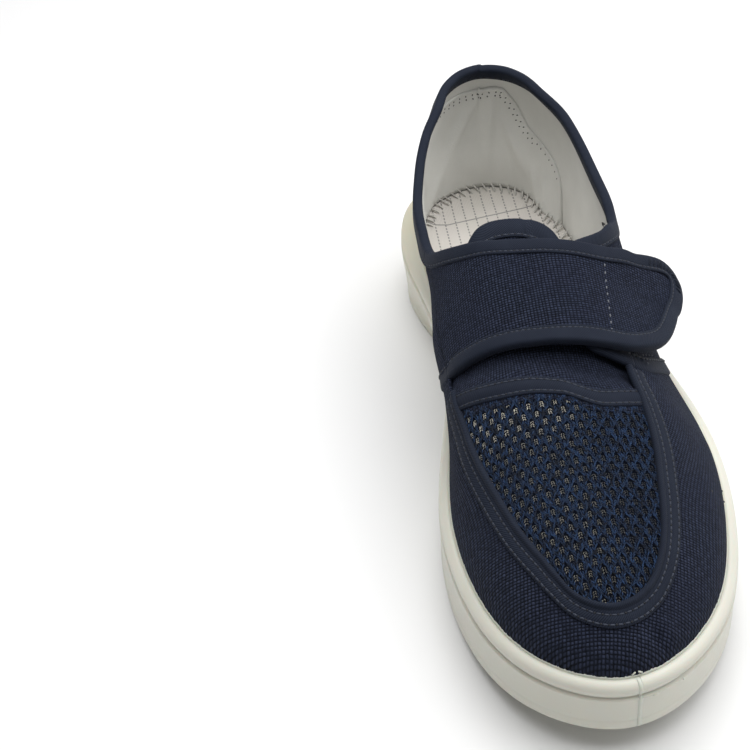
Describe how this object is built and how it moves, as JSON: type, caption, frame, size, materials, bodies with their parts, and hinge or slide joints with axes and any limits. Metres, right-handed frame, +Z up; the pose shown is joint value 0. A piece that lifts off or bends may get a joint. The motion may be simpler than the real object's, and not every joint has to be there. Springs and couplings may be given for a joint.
{
  "type": "anti-static work shoe",
  "caption": "Low slip-on work shoe with a thick pale moulded sole, navy canvas upper, mesh vamp plug, bound collar and tongue, and a hook-and-loop instep strap.",
  "frame": {"origin": "middle of the shoe's plan box, on the floor", "axes": "+Z up from the floor, -Y toward the toe, +X toward the lateral (outer) side of the left foot"},
  "size_m": [0.102, 0.2852, 0.0907],
  "materials": {
    "sole": "satin moulded, off-white",
    "insole": "cream cloth with a printed grid",
    "canvas": "matt navy basket weave",
    "mesh": "navy air mesh",
    "tape": "matt navy twill tape"
  },
  "bodies": {
    "root": {"sole": "sole", "insole": "insole", "upper": "canvas", "vamp_mesh": "mesh", "apron_binding": "tape", "throat_tape": "tape", "tongue": "canvas", "tongue_binding": "tape", "closure_tab": "canvas", "tab_binding": "tape", "strap": "canvas", "strap_binding": "tape", "collar_binding": "tape"}
  },
  "joints": []
}
